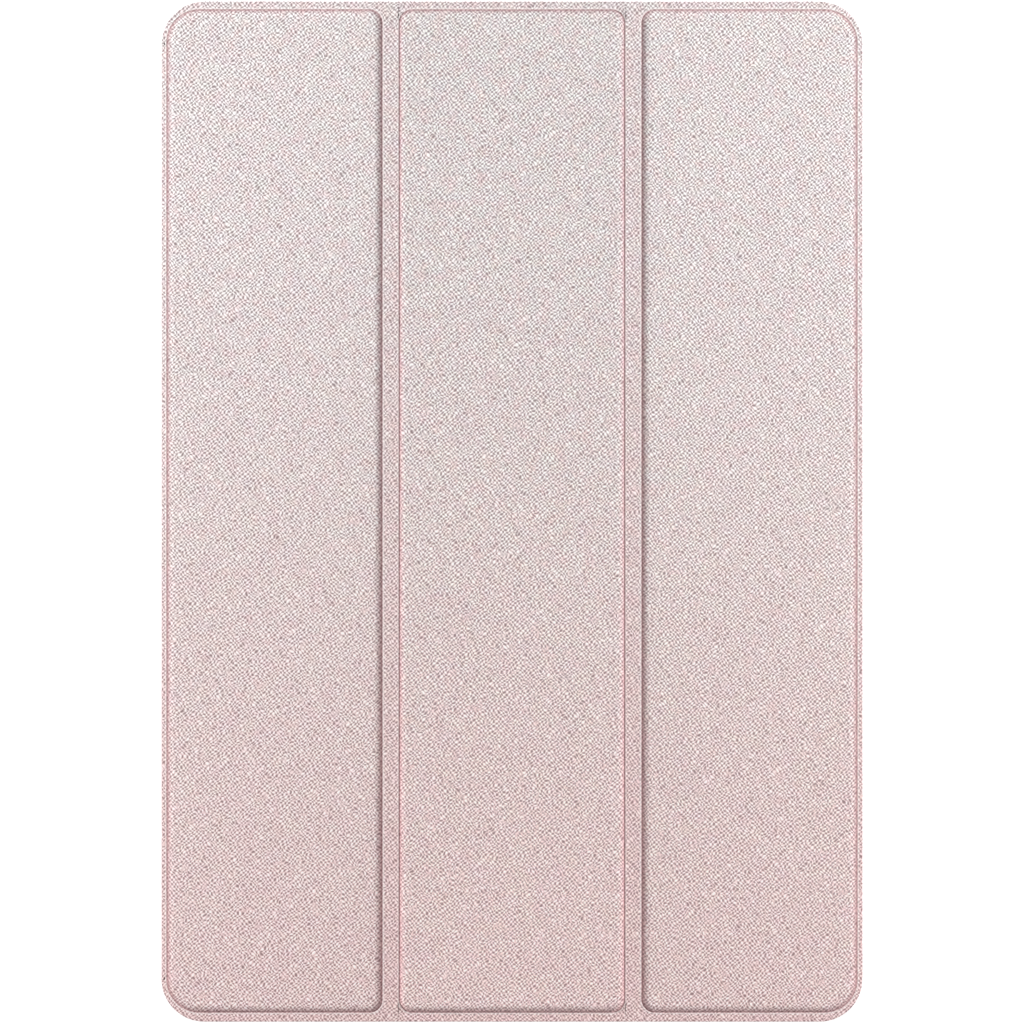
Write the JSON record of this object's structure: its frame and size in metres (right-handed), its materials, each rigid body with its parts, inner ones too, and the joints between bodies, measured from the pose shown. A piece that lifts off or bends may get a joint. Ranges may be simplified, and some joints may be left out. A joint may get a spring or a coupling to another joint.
{
  "type": "tablet case",
  "caption": "Slim folding tablet case: a snap-in tray with a wrap-round spine and a cover of three padded panels that folds into a stand.",
  "frame": {"origin": "middle of the case's bounding box in X and Y, at its back face, which lies on the table", "axes": "+X from the spine to the cover's free edge, +Y along the spine to the top edge, +Z out through the closed cover"},
  "size_m": [0.1724, 0.251, 0.0143],
  "materials": {
    "cover_skin": "imitation leather with a fine fabric-like emboss and a pearly sheen",
    "lining": "brushed microfibre",
    "board": "grey stiffener board",
    "foam": "thin closed-cell foam",
    "tray": "flexible moulded plastic, satin",
    "button": "flexible moulded plastic, fine matte",
    "adhesive": "bonding film",
    "magnet": "nickel-plated"
  },
  "bodies": {
    "tray": {"back_shell": "tray", "rear_flap_skin": "cover_skin", "rear_flap_adhesive": "adhesive", "spine_web_rear_skin": "cover_skin", "spine_web_rear_lining": "lining"},
    "power_button": {"power_button_pad": "button"},
    "volume_up_button": {"volume_up_pad": "button"},
    "volume_down_button": {"volume_down_pad": "button"},
    "spine": {"spine_skin": "cover_skin", "spine_board": "board", "spine_lining": "lining", "spine_web_front_skin": "cover_skin", "spine_web_front_lining": "lining"},
    "left_panel": {"left_panel_skin": "cover_skin", "left_panel_foam": "foam", "left_panel_board": "board", "left_panel_lining": "lining", "stand_magnet_lower": "magnet", "stand_magnet_upper": "magnet", "left_fold_skin": "cover_skin", "left_fold_lining": "lining"},
    "middle_panel": {"middle_panel_skin": "cover_skin", "middle_panel_foam": "foam", "middle_panel_board": "board", "middle_panel_lining": "lining", "right_fold_skin": "cover_skin", "right_fold_lining": "lining"},
    "right_panel": {"right_panel_skin": "cover_skin", "right_panel_foam": "foam", "right_panel_board": "board", "right_panel_lining": "lining", "closing_magnet_lower": "magnet", "closing_magnet_middle": "magnet", "closing_magnet_upper": "magnet", "wake_magnet": "magnet"}
  },
  "joints": [
    {"name": "spine_hinge", "type": "hinge", "parent": "tray", "child": "spine", "pos_m": [-0.08555, 0, 0.00075], "axis": [0, 1, 0], "range_deg": [-179, 0], "deforming": ["spine_web_rear_skin", "spine_web_rear_lining"]},
    {"name": "cover_hinge", "type": "hinge", "parent": "spine", "child": "left_panel", "pos_m": [-0.08555, 0, 0.0124], "axis": [0, 1, 0], "range_deg": [-179, 0], "deforming": ["spine_web_front_skin", "spine_web_front_lining"]},
    {"name": "left_fold", "type": "hinge", "parent": "left_panel", "child": "middle_panel", "pos_m": [-0.0298, 0, 0.0124], "axis": [0, -1, 0], "range_deg": [0, 120], "deforming": ["left_fold_skin", "left_fold_lining"]},
    {"name": "right_fold", "type": "hinge", "parent": "middle_panel", "child": "right_panel", "pos_m": [0.0298, 0, 0.0124], "axis": [0, -1, 0], "range_deg": [0, 120], "deforming": ["right_fold_skin", "right_fold_lining"]},
    {"name": "power_press", "type": "slide", "parent": "tray", "child": "power_button", "axis": [0, -1, 0], "range_m": [0, 0.0004], "stiffness_N_per_m": 500},
    {"name": "volume_up_press", "type": "slide", "parent": "tray", "child": "volume_up_button", "axis": [-1, 0, 0], "range_m": [0, 0.0004], "stiffness_N_per_m": 500},
    {"name": "volume_down_press", "type": "slide", "parent": "tray", "child": "volume_down_button", "axis": [-1, 0, 0], "range_m": [0, 0.0004], "stiffness_N_per_m": 500}
  ]
}
